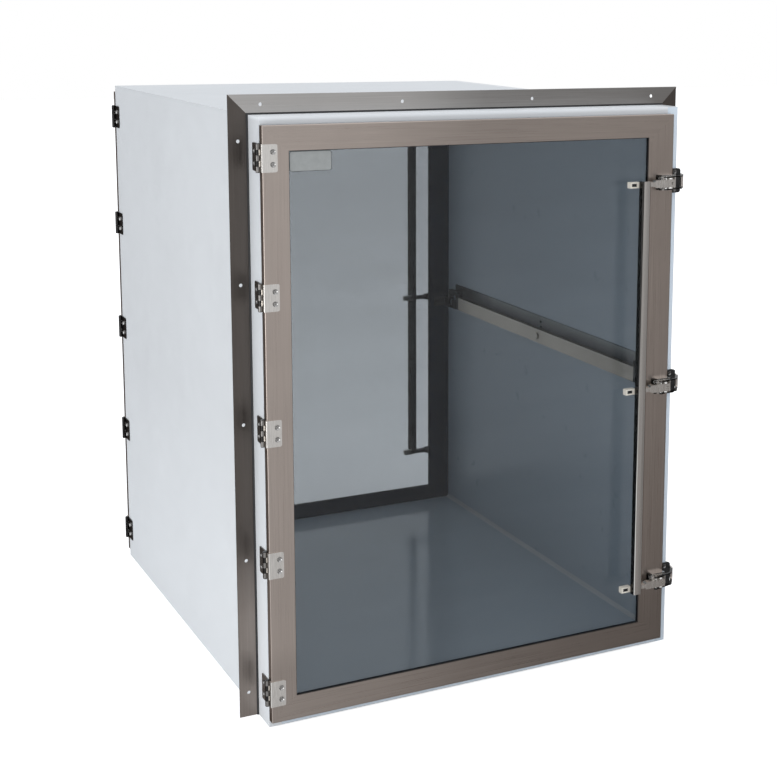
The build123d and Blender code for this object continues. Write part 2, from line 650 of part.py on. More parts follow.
def claw(level):
    """Two arms joined by a plate that passes outside the keeper and turns in behind it."""
    low = level - CLAW_OUTER
    high = level + CLAW_OUTER
    outer = CLAW_PLATE_X + CLAW_SHEET
    front = FRONT - CLAW_FRONT
    back = FRONT + CLAW_BACK
    hook = block(CLAW_PLATE_X, outer, front, back, low, high)
    hook += block(outer - CLAW_FACE, outer, front, front + CLAW_SHEET, low, high)
    hook += block(CLAW_PLATE_X - CLAW_LIP, outer, back - CLAW_SHEET, back, low, high)
    hook += both_sides(level, CLAW_INNER, CLAW_OUTER, claw_arm)
    return hook - rod_z(low - PAST, high + PAST, CLAW_PIN_X, CLAW_PIN_Y, CLAW_PIN_RADIUS + RUNNING_PLAY)


def handle_bar():
    """One upright bar on the three levers."""
    back = PIVOT_Y - LEVER_FRONT
    low = LATCH_LEVELS[0] - HANDLE_OVERHANG
    high = LATCH_LEVELS[-1] + HANDLE_OVERHANG
    bar = block(HANDLE_LEFT, HANDLE_RIGHT, back - HANDLE_DEPTH, back, low, high)
    return fillet(bar.edges().filter_by(Axis.Z), HANDLE_CORNER_RADIUS)


def keeper(level):
    """An angle on the corner of the cabinet whose front leg runs past the side and curls back."""
    low = level - KEEPER_HEIGHT / 2
    high = level + KEEPER_HEIGHT / 2
    plate = block(DOOR_RIGHT + KEEPER_DOOR_GAP, KEEPER_OUTER, FRONT - KEEPER_SHEET, FRONT, low, high)
    plate = fillet(plate.edges().filter_by(Axis.Y).group_by(Axis.X)[-1], KEEPER_CORNER_RADIUS)
    foot = block(RIGHT, RIGHT + KEEPER_SHEET, FRONT, FRONT + KEEPER_FOOT, low, high)
    foot = fillet(foot.edges().filter_by(Axis.X).group_by(Axis.Y)[-1], KEEPER_CORNER_RADIUS)
    curl_left = KEEPER_OUTER - KEEPER_CURL
    curl_back = FRONT + KEEPER_CURL_DEPTH
    curl_low = low + KEEPER_CORNER_RADIUS
    curl_high = high - KEEPER_CORNER_RADIUS
    piece = plate + foot + block(curl_left, KEEPER_OUTER, FRONT, curl_back, curl_low, curl_high)
    radius = SCREW_RADIUS + SCREW_PLAY
    for dz in spread(2, KEEPER_SCREW_PITCH):
        x = keeper_front_screw_seats()[0][0]
        piece -= rod_y(FRONT - KEEPER_SHEET - PAST, FRONT + PAST, x, level + dz, radius)
        y = keeper_side_screw_seats()[0][1]
        piece -= rod_x(RIGHT - PAST, RIGHT + KEEPER_SHEET + PAST, y, level + dz, radius)
    return piece


# Interlock -----------------------------------------------------------------------------------------------


def interlock_backing():
    top = BAR_BOTTOM + INTERLOCK_BACKING_HEIGHT
    end = BAR_END - INTERLOCK_BACKING_REACH
    strip = block(BACKING_FACE, INNER_RIGHT, end, -end, BAR_BOTTOM, top)
    for _, y, z in interlock_screw_seats():
        strip -= rod_x(BACKING_FACE - PAST, INNER_RIGHT + PAST, y, z, SCREW_RADIUS + SCREW_PLAY)
    bolt = INTERLOCK_PIVOT_RADIUS + SCREW_PLAY
    return strip - rod_x(BACKING_FACE - PAST, INNER_RIGHT + PAST, 0, INTERLOCK_HEIGHT, bolt)


def interlock_backing_screws():
    return [
        screw(seat, (-1, 0, 0), SCREW_RADIUS, INTERLOCK_BACKING_SCREW_HEAD, SCREW_GRIP_PANEL)
        for seat in interlock_screw_seats()
    ]


def interlock_pivot_bolt():
    head_back = BAR_FACE - INTERLOCK_BAR_GAP
    head_face = head_back - INTERLOCK_PIVOT_HEAD
    shank_end = BACKING_FACE + SCREW_GRIP_PANEL
    bolt = rod_x(head_face, head_back, 0, INTERLOCK_HEIGHT, INTERLOCK_PIVOT_HEAD_RADIUS)
    bolt = chamfer(bolt.edges().sort_by(Axis.X)[0], INTERLOCK_PIVOT_CHAMFER)
    return bolt + rod_x(head_back, shank_end, 0, INTERLOCK_HEIGHT, INTERLOCK_PIVOT_RADIUS)


def interlock_pivot_hole():
    radius = INTERLOCK_PIVOT_RADIUS + RUNNING_PLAY
    return rod_x(BAR_FACE - PAST, BAR_BACK + PAST, 0, INTERLOCK_HEIGHT, radius)


def interlock_bar():
    """A channel open towards the wall that rocks on the bolt at its middle."""
    low = BAR_BOTTOM + INTERLOCK_SHEET
    high = BAR_TOP - INTERLOCK_SHEET
    bar = block(BAR_FACE, BAR_BACK, BAR_END, -BAR_END, BAR_BOTTOM, BAR_TOP)
    bar -= block(BAR_FACE + INTERLOCK_SHEET, BAR_BACK + PAST, BAR_END - PAST, PAST - BAR_END, low, high)
    return bar - interlock_pivot_hole()


def interlock_bushing():
    sheet = INTERLOCK_SHEET
    half = INTERLOCK_BUSHING_LENGTH / 2
    piece = block(BAR_FACE + sheet, BAR_BACK, -half, half, BAR_BOTTOM + sheet, BAR_TOP - sheet)
    return piece - interlock_pivot_hole()


def interlock_end():
    """A block plugged into the bar's end: its arm carries a tooth above the door's striker."""
    sheet = INTERLOCK_SHEET
    arm_top = BAR_TOP + END_RISE
    arm_low = arm_top - END_ARM_HEIGHT
    arm_end = BAR_END - END_ARM_LENGTH
    x0 = BAR_FACE
    x1 = BAR_BACK
    piece = block(x0, x1, BAR_END - END_STEM, BAR_END, BAR_BOTTOM, arm_top)
    piece += block(x0, x1, arm_end, BAR_END, arm_low, arm_top)
    piece += block(x0, x1, arm_end, arm_end + TOOTH_WIDTH, arm_low - TOOTH_DROP, arm_low)
    tenon_end = BAR_END + INTERLOCK_TENON
    return piece + block(x0 + sheet, x1, BAR_END, tenon_end, BAR_BOTTOM + sheet, BAR_TOP - sheet)


def interlock_striker():
    """A bracket on the back of the door whose notched arm runs in under the tooth."""
    top = BAR_TOP + END_RISE - END_ARM_HEIGHT - TOOTH_DROP - TOOTH_LIFT
    low = top - STRIKER_HEIGHT
    x0 = (BAR_FACE + BAR_BACK - STRIKER_SHEET) / 2
    x1 = x0 + STRIKER_SHEET
    end = BAR_END - END_STEM - STRIKER_END_GAP
    arm = block(x0, x1, DOOR_BACK, end, low, top)
    notch_half = TOOTH_WIDTH / 2 + NOTCH_PLAY
    notch_low = top - NOTCH_DEPTH
    arm -= block(x0 - PAST, x1 + PAST, TOOTH_Y - notch_half, TOOTH_Y + notch_half, notch_low, top + PAST)
    return arm + block(x1 - STRIKER_FOOT, x1, DOOR_BACK, DOOR_BACK + STRIKER_FOOT_SHEET, low, top)


# Nodes ---------------------------------------------------------------------------------------------------


def cabinet_nodes():
    left = flange_left()
    return {
        "panel_left": [panel_left()],
        "panel_right": [panel_right()],
        "panel_top": [panel_top()],
        "panel_bottom": [panel_bottom()],
        "corner_coves": corner_coves(),
        "flange_left": [left],
        "flange_right": [mirror(left, about=Plane.YZ)],
        "flange_top": [flange_top()],
        "flange_seal": [flange_seal()],
        "flange_screws": flange_screws(),
        "interlock_backing": [interlock_backing()],
        "interlock_backing_screws": interlock_backing_screws(),
        "interlock_pivot_bolt": [interlock_pivot_bolt()],
        "interlock_bar": [interlock_bar()],
        "interlock_bushing": [interlock_bushing()],
        "interlock_ends": both_ends([interlock_end()]),
    }


def end_nodes():
    """Everything at one end of the cabinet, made for the front door."""
    side_screws = [small_screw(seat, (-1, 0, 0), SCREW_GRIP_PANEL) for seat in hinge_cabinet_screw_seats()]
    side_screws += [small_screw(seat, (0, -1, 0), SCREW_GRIP_PANEL) for seat in keeper_front_screw_seats()]
    side_screws += [small_screw(seat, (1, 0, 0), SCREW_GRIP_PANEL) for seat in keeper_side_screw_seats()]
    nodes = {
        "hinge_cabinet_leaves": [hinge_cabinet_leaf(level) for level in HINGE_LEVELS],
        "hinge_pins": [hinge_pin(level) for level in HINGE_LEVELS],
        "cabinet_screws": side_screws,
        "keepers": [keeper(level) for level in LATCH_LEVELS],
        "hinge_door_leaves": [hinge_door_leaf(level) for level in HINGE_LEVELS],
        "door_screws": [small_screw(seat, (0, -1, 0), SCREW_GRIP_DOOR) for seat in door_screw_seats()],
        "door_frame": [door_frame()],
        "door_glass": [glass()],
        "glazing_gasket": [glazing_gasket()],
        "glass_retainer": [glass_retainer()],
        "door_seal": [door_seal()],
        "interlock_striker": [interlock_striker()],
        "latch_bases": [latch_base(level) for level in LATCH_LEVELS],
        "latch_pins": [latch_pin(level) for level in LATCH_LEVELS],
        "handle_bar": [handle_bar()],
        "latch_levers": [latch_lever(level) for level in LATCH_LEVELS],
        "claw_pins": [claw_pin(level) for level in LATCH_LEVELS],
    }
    for name, level in zip(("lower", "middle", "upper"), LATCH_LEVELS):
        nodes[f"claw_{name}"] = [claw(level)]
    return nodes


def save(node, pieces):
    solids = [solid for piece in pieces for solid in piece.solids()]
    shape = solids[0] if len(solids) == 1 else Compound(solids)
    export_step(shape, f"parts/{node}.step")


os.makedirs("parts", exist_ok=True)
for node, pieces in cabinet_nodes().items():
    save(node, pieces)
for node, pieces in end_nodes().items():
    save(f"front_{node}", pieces)
    save(f"rear_{node}", rear(pieces))
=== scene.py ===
import math

import bmesh
import bpy
from mathutils import Matrix, Vector

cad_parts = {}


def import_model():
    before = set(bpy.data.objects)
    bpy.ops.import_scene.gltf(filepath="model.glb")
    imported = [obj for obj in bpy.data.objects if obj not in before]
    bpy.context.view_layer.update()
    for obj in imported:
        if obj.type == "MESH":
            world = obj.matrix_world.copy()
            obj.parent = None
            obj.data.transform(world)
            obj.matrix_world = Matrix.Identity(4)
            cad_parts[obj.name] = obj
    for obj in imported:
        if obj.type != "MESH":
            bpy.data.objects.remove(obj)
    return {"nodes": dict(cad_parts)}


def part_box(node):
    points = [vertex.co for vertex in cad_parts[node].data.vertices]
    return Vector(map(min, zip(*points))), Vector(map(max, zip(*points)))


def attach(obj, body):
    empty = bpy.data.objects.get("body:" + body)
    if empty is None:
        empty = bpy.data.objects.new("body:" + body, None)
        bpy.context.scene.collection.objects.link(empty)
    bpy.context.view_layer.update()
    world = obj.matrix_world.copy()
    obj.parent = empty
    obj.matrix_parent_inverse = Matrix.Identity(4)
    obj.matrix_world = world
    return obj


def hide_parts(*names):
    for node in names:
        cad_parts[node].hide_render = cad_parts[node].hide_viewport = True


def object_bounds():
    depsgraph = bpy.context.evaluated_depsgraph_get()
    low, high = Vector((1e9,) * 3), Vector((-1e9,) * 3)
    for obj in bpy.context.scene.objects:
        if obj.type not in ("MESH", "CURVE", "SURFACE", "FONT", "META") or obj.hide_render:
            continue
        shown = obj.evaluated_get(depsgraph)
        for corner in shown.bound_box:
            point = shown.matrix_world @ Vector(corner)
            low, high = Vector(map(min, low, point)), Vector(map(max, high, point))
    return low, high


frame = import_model()
cad_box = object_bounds()

# Lengths are in metres, in the model's own frame: +X right, -Y front, +Z up.

# Camera, solved from the cabinet's corners in the photograph
IMAGE_WIDTH = 777
IMAGE_HEIGHT = 780
SENSOR = 36.0
FOCAL_PIXELS = 1549.7
AXIS_PIXEL_X = 553.08
AXIS_PIXEL_Y = 258.88
CAMERA_PLACE = (-1.0548, -2.5149, 1.0804)
CAMERA_RIGHT = (0.8732, -0.4872, 0.0133)
CAMERA_DOWN = (-0.0686, -0.1497, -0.9863)
CAMERA_FORWARD = (0.4826, 0.8603, -0.1642)

MM = 0.001
ENDS = ("front", "rear")


# Node helpers --------------------------------------------------------------------------------------------


class Shader:
    """A material under construction: its node tree and its Principled shader."""

    def __init__(self, name, colour, roughness, metallic=0.0, **values):
        self.material = bpy.data.materials.new(name)
        self.material.use_nodes = True
        self.tree = self.material.node_tree
        self.main = self.tree.nodes["Principled BSDF"]
        self.main.inputs["Base Color"].default_value = (*colour, 1)
        self.main.inputs["Roughness"].default_value = roughness
        self.main.inputs["Metallic"].default_value = metallic
        for key, value in values.items():
            self.main.inputs[key.replace("_", " ")].default_value = value
        self.place = self.node("ShaderNodeTexCoord").outputs["Object"]
        self.heights = []

    def node(self, kind, **values):
        made = self.tree.nodes.new(kind)
        for key, value in values.items():
            setattr(made, key, value)
        return made

    def feed(self, socket, source):
        """Links a socket to another node's output, or sets its value."""
        if hasattr(source, "is_output"):
            self.tree.links.new(source, socket)
        else:
            socket.default_value = source

    def scaled(self, scale):
        mapping = self.node("ShaderNodeMapping")
        self.feed(mapping.inputs["Vector"], self.place)
        mapping.inputs["Scale"].default_value = scale
        return mapping.outputs["Vector"]

    def noise(self, scale, detail=3.0, vector=None, roughness=0.55):
        made = self.node("ShaderNodeTexNoise")
        self.feed(made.inputs["Vector"], vector if vector is not None else self.place)
        made.inputs["Scale"].default_value = scale
        made.inputs["Detail"].default_value = detail
        made.inputs["Roughness"].default_value = roughness
        return made.outputs["Fac"]

    def math(self, operation, a, b=0.0, clamp=False):
        made = self.node("ShaderNodeMath", operation=operation, use_clamp=clamp)
        self.feed(made.inputs[0], a)
        self.feed(made.inputs[1], b)
        return made.outputs[0]

    def remap(self, value, low, high, to_low, to_high):
        made = self.node("ShaderNodeMapRange")
        for socket, source in zip(made.inputs, (value, low, high, to_low, to_high)):
            self.feed(socket, source)
        return made.outputs[0]

    def blend(self, share, a, b):
        """Colour a where share is 0 and colour b where it is 1."""
        made = self.node("ShaderNodeMix", data_type="RGBA")
        self.feed(made.inputs["Factor"], share)
        for name, colour in (("A", a), ("B", b)):
            socket = [s for s in made.inputs if s.name == name and s.type == "RGBA"][0]
            self.feed(socket, colour if hasattr(colour, "is_output") else (*colour, 1))
        return [s for s in made.outputs if s.type == "RGBA"][0]

    def along(self, axis):
        """The place along one of the object's axes."""
        split = self.node("ShaderNodeSeparateXYZ")
        self.feed(split.inputs[0], self.place)
        return split.outputs["XYZ".index(axis.upper())]

    def multiplied(self, colour, level):
        """A colour made lighter or darker by a level."""
        made = self.node("ShaderNodeVectorMath", operation="SCALE")
        self.feed(made.inputs[0], colour)
        self.feed(made.inputs["Scale"], level)
        return made.outputs[0]

    def bump(self, height, strength, distance):
        made = self.node("ShaderNodeBump")
        made.inputs["Strength"].default_value = strength
        made.inputs["Distance"].default_value = distance
        self.feed(made.inputs["Height"], height)
        if self.heights:
            self.feed(made.inputs["Normal"], self.heights[-1])
        self.heights.append(made.outputs["Normal"])
        self.feed(self.main.inputs["Normal"], made.outputs["Normal"])

    def set_colour(self, source):
        self.feed(self.main.inputs["Base Color"], source)

    def set_roughness(self, source):
        self.feed(self.main.inputs["Roughness"], source)


def tone(colour, factor):
    return tuple(min(1.0, c * factor) for c in colour)


# Materials -----------------------------------------------------------------------------------------------

STEEL = (0.62, 0.60, 0.57)
BRIGHT_STEEL = (0.88, 0.86, 0.83)
BLACK_STEEL = (0.030, 0.029, 0.028)
CREAM = (0.86, 0.80, 0.70)
WHITE = (0.80, 0.82, 0.835)
# The sheet's white as the bluish light inside the chamber shows it: painted light on the inside faces
WHITE_IN_BLUISH_LIGHT = (0.80, 0.89, 0.97)
RUBBED_GREY = (0.16, 0.16, 0.16)

# Borders between finishes and of painted light and shade, in metres
SKIN = 1.0 * MM  # how deep under a face its finish ends
SHEET_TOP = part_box("panel_top")[1][2]
FRONT_STRIP_END = -0.366  # where the cabinet's top passes under the flange
HINGE_BARREL_EDGE = -0.3552
CLAW_PLATE_EDGE = 0.3602
LATCH_FOOT, LATCH_PITCH = 0.1198, 0.3370  # the lowest latch's height, and the way up to the next
POCKET_START, POCKET_END = 2.8 * MM, 12.2 * MM  # from the end of a lever's tail
POCKET_HALF_HEIGHT = 2.6 * MM
POCKET_LEAST_DEPTH = 0.3 * MM


def plastic_sheet(name, colour, roughness, rubbing=0.35, inner=None, ior=1.49, shade=None, foot=1.0):
    """Polypropylene sheet: faint cloudiness, a fine moulded grain and a few rubbed streaks.

    inner is (axis, border, sign): the side of the sheet that looks into the chamber, painted a cooler tone
    for the bluish light there. foot is that side's level low down, a painted shade, and shade the other
    side's level from place to place, painted light and shade.
    """
    s = Shader(name, colour, roughness, IOR=ior)
    clouds = s.noise(5.0, 4.0)
    streaks = s.noise(1.0, 2.0, s.scaled((9.0, 9.0, 260.0)))
    mixed = s.blend(s.remap(clouds, 0.35, 0.65, 0.0, 1.0), tone(colour, 0.985), tone(colour, 1.01))
    rubbed = s.remap(streaks, 0.62, 0.72, 0.0, rubbing)
    sheet = s.blend(rubbed, mixed, tone(colour, 1.03))
    if inner:
        axis, border, sign = inner
        facing = s.math("GREATER_THAN", s.math("MULTIPLY", s.along(axis), sign), sign * border)
        inside = s.math("MULTIPLY", facing, s.math("LESS_THAN", s.along("z"), SHEET_TOP - SKIN))
        # Painted light and shade: the inside faces take the cooler tint of the light in the chamber, darker
        # low down by foot
        painted_cool_light = s.multiplied(WHITE_IN_BLUISH_LIGHT, s.remap(s.along("z"), 0.05, 0.50, foot, 1.0))
        sheet = s.blend(inside, sheet, painted_cool_light)
    s.set_colour(s.multiplied(sheet, shade(s)) if shade else sheet)
    s.set_roughness(s.remap(s.noise(38.0, 5.0), 0.3, 0.7, roughness * 0.9, roughness * 1.15))
    s.bump(s.noise(900.0, 2.0), 0.25, 0.00012)
    return s.material


def brushed(name, colour, roughness, grain, stain=0.08, depth=0.35, shade=None):
    """Brushed stainless steel. grain is the axis the lines run along, or mitre for a door frame.

    shade makes a level from the shader, by which painted light and shade make the finish lighter or darker
    from place to place.
    """
    s = Shader(name, colour, roughness, metallic=1.0)
    fine, coarse, lengthwise = 1500.0, 330.0, 7.0

    def lines(axis, across):
        scale = [across] * 3
        scale["xyz".index(axis)] = lengthwise
        return s.noise(1.0, 3.0, s.scaled(tuple(scale)))

    if grain == "mitre":
        share = mitre_share(s)
        thin = s.blend(share, lines("z", fine), lines("x", fine))
        wide = s.blend(share, lines("z", coarse), lines("x", coarse))
    else:
        thin, wide = lines(grain, fine), lines(grain, coarse)
    both = s.math("ADD", s.math("MULTIPLY", thin, 0.6), s.math("MULTIPLY", wide, 0.4))
    patches = s.noise(6.0, 4.0)
    dull, bright = tone(colour, 1 - depth / 3), tone(colour, 1 + depth / 3)
    lined = s.blend(s.remap(both, 0.3, 0.7, 0.0, 1.0), dull, bright)
    finish = s.blend(s.remap(patches, 0.45, 0.75, 0.0, 1.0), lined, tone(colour, 1 - stain))
    s.set_colour(s.multiplied(finish, shade(s)) if shade else finish)
    s.set_roughness(s.remap(both, 0.3, 0.7, roughness - 0.06, roughness + 0.08))
    s.bump(thin, depth, 0.00006)
    return s.material


def painted_door_shading(s):
    """Painted light and shade on the door: darker in the middle, along its foot and low on the latch side,
    lighter towards the latch side.
    """
    x, z = s.along("x"), s.along("z")
    fall, rise = s.remap(x, -0.20, -0.03, 1.0, 0.81), s.remap(x, 0.05, 0.28, 1.0, 1.22)
    foot = s.remap(z, 0.09, 0.13, 0.86, 1.0)
    across = s.math("MULTIPLY", s.math("MULTIPLY", fall, rise), foot)
    corner = s.math("MULTIPLY", s.remap(x, 0.0, 0.28, 0.0, 1.0), s.remap(z, 0.50, 0.05, 0.0, 0.25))
    return s.math("MULTIPLY", across, s.math("SUBTRACT", 1.0, corner))


def painted_sheet_light(s):
    """Painted light on the cabinet's sheet: whiter towards its foot and on the strip of the top before the
    flange.
    """
    z = s.along("z")
    strip = s.remap(s.along("y"), FRONT_STRIP_END, FRONT_STRIP_END + 4 * MM, 0.23, -0.035)
    top = s.math("MULTIPLY", s.remap(z, SHEET_TOP - 6 * MM, SHEET_TOP - 2 * MM, 0.0, 1.0), strip)
    return s.math("ADD", s.remap(z, 0.10, 0.45, 1.08, 0.955), top)


def painted_flange_side_light(s):
    """Painted light on the flange's sides: lighter near the foot."""
    return s.remap(s.along("z"), 0.30, 0.16, 1.0, 2.5)


def painted_flange_top_light(s):
    """Painted light on the flange's top: lighter on the left."""
    return s.remap(s.along("x"), 0.03, -0.10, 0.85, 1.30)


def mitre_share(s):
    """1 on the rails of the door frame and 0 on its stiles, parted by the mitre lines."""
    low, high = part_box("front_door_frame")
    x, z = s.along("x"), s.along("z")
    to_side = s.math("MINIMUM", s.math("SUBTRACT", x, low[0]), s.math("SUBTRACT", high[0], x))
    to_rail = s.math("MINIMUM", s.math("SUBTRACT", z, low[2]), s.math("SUBTRACT", high[2], z))
    return s.math("GREATER_THAN", to_side, to_rail)


def parted(name, inner, outer, roughness, axis, border, inner_metallic=1.0, mark=None):
    """Brushed metal of two colours that meet at a border, where a black one is painted shade; the one below
    the border may be plastic instead.

    mark makes a share from the shader, by which the finish is blackened as painted shade.
    """
    s = Shader(name, outer, roughness, metallic=1.0)
    lines = s.noise(1.0, 3.0, s.scaled((900.0, 900.0, 60.0)))
    side = s.math("GREATER_THAN", s.along(axis), border)
    low = s.blend(s.remap(lines, 0.3, 0.7, 0.0, 1.0), tone(inner, 0.92), tone(inner, 1.06))
    high = s.blend(s.remap(lines, 0.3, 0.7, 0.0, 1.0), tone(outer, 0.88), tone(outer, 1.10))
    finish = s.blend(side, low, high)
    s.set_colour(s.blend(mark(s), finish, BLACK_STEEL) if mark else finish)
    s.set_roughness(s.remap(lines, 0.3, 0.7, roughness - 0.05, roughness + 0.06))
    if inner_metallic < 1.0:
        s.feed(s.main.inputs["Metallic"], s.remap(side, 0.0, 1.0, inner_metallic, 1.0))
    s.bump(lines, 0.3, 0.00005)
    return s.material


def tail_pocket_painted_shade(s):
    """1 in the shallow pockets in the faces of the front levers' tails, blackened there as painted shade,
    and 0 elsewhere.
    """
    end, face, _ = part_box("front_latch_levers")[0]
    turns = s.math("DIVIDE", s.math("SUBTRACT", s.along("z"), LATCH_FOOT), LATCH_PITCH)
    off_centre = s.math("ABSOLUTE", s.math("SUBTRACT", s.math("FRACT", s.math("ADD", turns, 0.5)), 0.5))
    level = s.math("LESS_THAN", off_centre, POCKET_HALF_HEIGHT / LATCH_PITCH)
    sunk = s.math("GREATER_THAN", s.along("y"), face + POCKET_LEAST_DEPTH)
    before = s.math("LESS_THAN", s.along("x"), end + POCKET_END)
    beyond = s.math("GREATER_THAN", s.along("x"), end + POCKET_START)
    return s.math("MULTIPLY", s.math("MULTIPLY", level, sunk), s.math("MULTIPLY", before, beyond))


def dark_solid(name, colour, roughness, grain, strength, worn=0.0):
    """Black plastic, rubber or coated metal with a fine grain and greyed rubbed patches."""
    s = Shader(name, colour, roughness)
    dust = s.noise(60.0, 6.0)
    rub = s.remap(s.noise(220.0, 4.0), 0.6, 0.75, 0.0, worn)
    mixed = s.blend(s.remap(dust, 0.4, 0.7, 0.0, 1.0), colour, tone(colour, 1.6))
    s.set_colour(s.blend(rub, mixed, RUBBED_GREY))
    s.set_roughness(s.remap(dust, 0.3, 0.7, roughness - 0.08, roughness + 0.1))
    s.bump(s.noise(grain, 2.0), strength, 0.0001)
    return s.material


def turned_steel(name, colour, roughness):
    """Screws and pins: bright steel with fine tool marks and a little tarnish."""
    s = Shader(name, colour, roughness, metallic=1.0)
    marks = s.noise(2600.0, 3.0)
    tarnish = s.noise(180.0, 4.0)
    lit = s.blend(s.remap(marks, 0.35, 0.65, 0.0, 1.0), tone(colour, 0.85), tone(colour, 1.1))
    s.set_colour(s.blend(s.remap(tarnish, 0.5, 0.8, 0.0, 0.6), lit, tone(colour, 0.6)))
    s.set_roughness(s.remap(tarnish, 0.3, 0.7, roughness - 0.05, roughness + 0.12))
    s.bump(marks, 0.3, 0.00005)
    return s.material


def tinted_glass(name, foot, head, head_height):
    """Grey tinted glass that lets lamps through, with faint wiping marks.

    foot and head are its levels near the floor and at head_height: painted light, lighter low down and
    darker higher up.
    """
    colour = (0.446, 0.463, 0.476)
    s = Shader(name, colour, 0.0, IOR=1.33, Transmission_Weight=1.0)
    haze = s.noise(1.0, 4.0, s.scaled((5.0, 5.0, 24.0)))
    tinted = s.blend(s.remap(haze, 0.35, 0.65, 0.0, 1.0), tone(colour, 0.985), tone(colour, 1.015))
    # Painted light: the tint is lighter low down and darker higher up
    s.set_colour(s.multiplied(tinted, s.remap(s.along("z"), 0.10, head_height, foot, head)))
    clear = s.node("ShaderNodeBsdfTransparent")
    clear.inputs["Color"].default_value = (0.70, 0.74, 0.78, 1)
    path = s.node("ShaderNodeLightPath")
    mixed = s.node("ShaderNodeMixShader")
    sources = (path.outputs["Is Shadow Ray"], s.main.outputs[0], clear.outputs[0])
    for socket, source in zip(mixed.inputs, sources):
        s.feed(socket, source)
    s.feed(s.tree.nodes["Material Output"].inputs["Surface"], mixed.outputs[0])
    return s.material


def film():
    """The blank label: matt grey film."""
    dull, bright = (0.33, 0.34, 0.33), (0.38, 0.39, 0.38)
    s = Shader("label_film", (0.35, 0.36, 0.35), 0.4)
    s.set_colour(s.blend(s.remap(s.noise(90.0, 4.0), 0.3, 0.7, 0.0, 1.0), dull, bright))
    s.bump(s.noise(1400.0, 2.0), 0.2, 0.00004)
    return s.material


def strip_plastic_painted_shadow():
    """The strip behind the interlock bar, painted with the bar's shadow: dark at its rear end and along its
    foot, greyer elsewhere.
    """
    s = Shader("backing_plastic_painted_shadow", (0.12, 0.12, 0.12), 0.5)
    speckle = s.remap(s.noise(300.0, 3.0), 0.3, 0.7, 0.85, 1.15)
    # Painted shadow: darkest at the rear end and close above the bar
    along = s.remap(s.along("y"), 0.20, 0.30, 1.0, 0.0)
    up = s.remap(s.along("z"), 0.468, 0.492, 0.13, 0.48)
    level = s.math("ADD", s.math("MULTIPLY", along, up), 0.035)
    cast = s.blend(s.noise(9.0), (0.97, 0.99, 0.97), (1.0, 1.0, 1.0))
    s.set_colour(s.multiplied(cast, s.math("MULTIPLY", level, speckle)))
    s.bump(s.noise(1100.0, 2.0), 0.3, 0.0001)
    return s.material


def bar_steel_painted_light():
    """The front handle bar with painted light: black down its left side, a painted reflection, then bright,
    a painted highlight, greyer towards its right side.
    """
    left, right = (corner[0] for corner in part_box("front_handle_bar"))
    s = Shader("handle_steel", STEEL, 0.20, metallic=1.0)
    x = s.along("x")
    lines = s.remap(s.noise(1.0, 3.0, s.scaled((1300.0, 1300.0, 7.0))), 0.3, 0.7, 0.90, 1.08)
    # Painted highlight: the front is brighter on the left, greyer to the right
    front = s.remap(x, left + 5.0 * MM, right - 3.0 * MM, 1.30, 0.92)
    # Painted reflection: a black strip down the left side, narrower low down
    edge = s.remap(s.along("z"), 0.30, 0.75, left + 0.3 * MM, left + 2.4 * MM)
    black = s.remap(s.math("SUBTRACT", x, edge), 0.0, 0.3 * MM, 0.05, 1.0)
    level = s.math("MULTIPLY", s.math("MULTIPLY", front, lines), black)
    s.set_colour(s.multiplied(s.blend(s.noise(25.0), STEEL, tone(STEEL, 0.94)), level))
    s.set_roughness(s.remap(lines, 0.90, 1.08, 0.16, 0.26))
    s.bump(lines, 0.3, 0.00005)
    return s.material


tail_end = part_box("front_handle_bar")[0][0] + SKIN
rear_bar_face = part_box("rear_handle_bar")[0][1] + 0.5 * MM
# The latch bases are painted black up to here for the shade in their open left ends: painted shade
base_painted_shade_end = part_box("front_latch_bases")[0][0] + 5.5 * MM
right_wall_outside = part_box("panel_right")[1][0] - SKIN
walls = plastic_sheet("polypropylene_sheet", WHITE, 0.42, shade=painted_sheet_light)
# The right wall's inside is painted cooler for the chamber's bluish light and darker low down: painted light
# and shade
inner_wall = plastic_sheet(
    "polypropylene_right_wall", WHITE, 0.30, inner=("x", right_wall_outside, -1), foot=0.80
)
chamber_floor = plastic_sheet("polypropylene_floor", WHITE, 0.08, rubbing=0.0, inner=("z", SKIN, 1), ior=1.8)
door_steel = brushed("door_steel", (0.478, 0.412, 0.368), 0.30, "mitre", shade=painted_door_shading)
# The flange's sides are a dark copy of the flange steel, standing for their dark reflections: painted shade
flange_steel_side_painted_dark = brushed("flange_steel_side_painted_dark", (0.115, 0.10, 0.09), 0.36, "z", shade=painted_flange_side_light)
flange_steel_top = brushed("flange_steel_top", (0.37, 0.355, 0.34), 0.32, "x", shade=painted_flange_top_light)
base_steel = parted("latch_base_steel", BLACK_STEEL, BRIGHT_STEEL, 0.18, "x", base_painted_shade_end)
handle_steel = bar_steel_painted_light()
# The rear handle bar's face towards the chamber is painted black for the shade it lies in: painted shade
rear_handle_steel_painted_dark_face = parted("rear_handle_steel_painted_dark_face", BLACK_STEEL, STEEL, 0.20, "y", rear_bar_face)
retainer_steel = brushed("retainer_steel", (0.010, 0.021, 0.042), 0.4, "mitre")
rocker_steel = brushed("rocker_steel", (0.62, 0.57, 0.50), 0.38, "y")
dark_leaf = brushed("dark_leaf_steel", (0.035, 0.033, 0.032), 0.30, "z")
front_leaf = brushed("front_cabinet_leaf_steel", (0.22, 0.21, 0.20), 0.26, "z")
# The hinges' door leaves are painted black past the barrel edge for the shade and dark reflection there
door_leaf_painted_dark_barrel = parted("door_leaf_steel", BLACK_STEEL, (0.74, 0.71, 0.67), 0.22, "x", HINGE_BARREL_EDGE)
